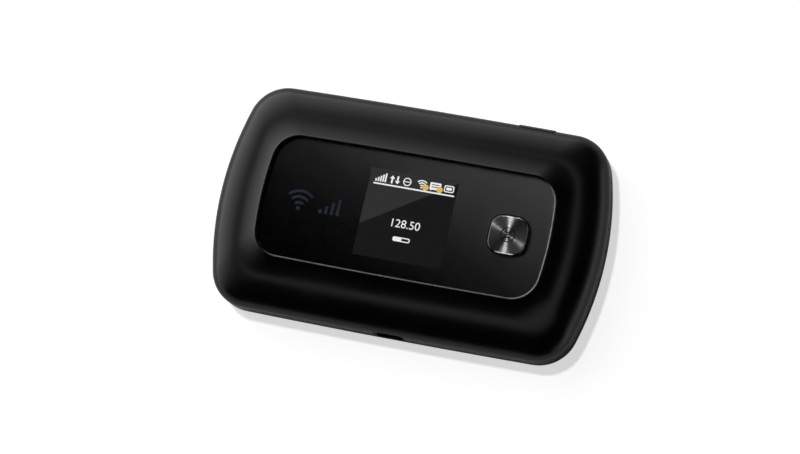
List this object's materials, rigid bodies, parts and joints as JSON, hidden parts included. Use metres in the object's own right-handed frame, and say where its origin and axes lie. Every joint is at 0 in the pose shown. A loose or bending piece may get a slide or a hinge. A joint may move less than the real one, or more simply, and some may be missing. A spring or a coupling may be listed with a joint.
{
  "type": "mobile hotspot",
  "caption": "Pocket mobile hotspot with a crowned case, a sunk glossy lens over a small square display, a menu key, a side power key, a USB-C socket and a pull-off battery cover.",
  "frame": {"origin": "middle of the device's outline, on the plane of the flat back it lies on", "axes": "+X along the body towards the menu key, +Y towards the edge with the power key, +Z out of the display"},
  "size_m": [0.112, 0.0656, 0.0158],
  "materials": {
    "shell_black": "soft-touch matte black",
    "lens_black": "polished black, clear over the display",
    "chassis_black": "fine moulded texture",
    "key_metal": "circular spun, dark grey",
    "steel": "bright sheet steel",
    "gold": "gold plated",
    "board_green": "solder mask over glass-fibre board",
    "chip_black": "moulded epoxy",
    "display_glass": "colour display",
    "foam": "thin foam tape",
    "film": "amber polyimide film",
    "battery_grey": "wrapped cell",
    "label_white": "printed label, left blank",
    "card_white": "card stock",
    "switch_plastic": "glass-filled nylon"
  },
  "bodies": {
    "housing": {"front_housing": "shell_black", "rear_chassis": "chassis_black", "front_lens": "lens_black", "lens_adhesive": "foam", "display_frame": "steel", "display_backlight": "label_white", "display_glass": "display_glass", "display_gasket": "foam", "display_flex": "film", "display_connector": "chip_black", "menu_switch_body": "steel", "power_switch_body": "steel", "reset_switch_body": "steel", "main_board": "board_green", "shield_can_modem": "steel", "shield_can_radio": "steel", "shield_can_wifi": "steel", "modem_chip": "chip_black", "memory_chip": "chip_black", "radio_chip": "chip_black", "power_chip": "chip_black", "wifi_chip": "chip_black", "usb_c_shell": "steel", "usb_c_tongue": "chip_black", "sim_holder_shell": "steel", "sim_contact_block": "chip_black", "battery_connector": "switch_plastic", "battery_contact_1": "gold", "battery_contact_2": "gold", "battery_contact_3": "gold", "antenna_main": "film", "antenna_diversity": "film", "antenna_wifi_1": "film", "antenna_wifi_2": "film", "antenna_spring_main": "gold", "antenna_spring_diversity": "gold", "antenna_spring_wifi_1": "gold", "antenna_spring_wifi_2": "gold", "housing_screw_1": "steel", "housing_screw_2": "steel", "housing_screw_3": "steel", "housing_screw_4": "steel", "housing_screw_5": "steel", "housing_screw_6": "steel"},
    "cover": {"battery_cover": "shell_black"},
    "battery": {"battery_cell": "battery_grey", "battery_end_cap": "switch_plastic", "battery_label": "label_white", "battery_terminal_1": "gold", "battery_terminal_2": "gold", "battery_terminal_3": "gold"},
    "sim": {"sim_card": "card_white"},
    "menu_button": {"menu_key": "key_metal"},
    "menu_plunger": {"menu_switch_plunger": "switch_plastic"},
    "power_button": {"power_key": "shell_black"},
    "power_plunger": {"power_switch_plunger": "switch_plastic"},
    "reset_plunger": {"reset_switch_plunger": "switch_plastic"}
  },
  "joints": [
    {"name": "housing_lift", "type": "slide", "parent": "cover", "child": "housing", "axis": [0, 0, 1], "range_m": [0, 0.03]},
    {"name": "battery_drop", "type": "slide", "parent": "housing", "child": "battery", "axis": [0, 0, -1], "range_m": [0, 0.015]},
    {"name": "sim_slide", "type": "slide", "parent": "housing", "child": "sim", "axis": [0, -1, 0], "range_m": [0, 0.0105]},
    {"name": "menu_key_press", "type": "slide", "parent": "housing", "child": "menu_button", "axis": [0, 0, -1], "range_m": [0, 0.0003], "stiffness_N_per_m": 800, "springref_m": -0.001},
    {"name": "menu_plunger_press", "type": "slide", "parent": "housing", "child": "menu_plunger", "axis": [0, 0, -1], "range_m": [0, 0.0003]},
    {"name": "power_key_press", "type": "slide", "parent": "housing", "child": "power_button", "axis": [0, -1, 0], "range_m": [0, 0.0003], "stiffness_N_per_m": 800, "springref_m": -0.001},
    {"name": "power_plunger_press", "type": "slide", "parent": "housing", "child": "power_plunger", "axis": [0, -1, 0], "range_m": [0, 0.0003]},
    {"name": "reset_plunger_press", "type": "slide", "parent": "housing", "child": "reset_plunger", "axis": [0, 0, 1], "range_m": [0, 0.0002], "stiffness_N_per_m": 600, "springref_m": -0.001}
  ],
  "couplings": [
    {"joint": "battery_drop", "follows": "housing_lift", "ratio": 0.5},
    {"joint": "menu_plunger_press", "follows": "menu_key_press", "ratio": 1},
    {"joint": "power_plunger_press", "follows": "power_key_press", "ratio": 1}
  ]
}
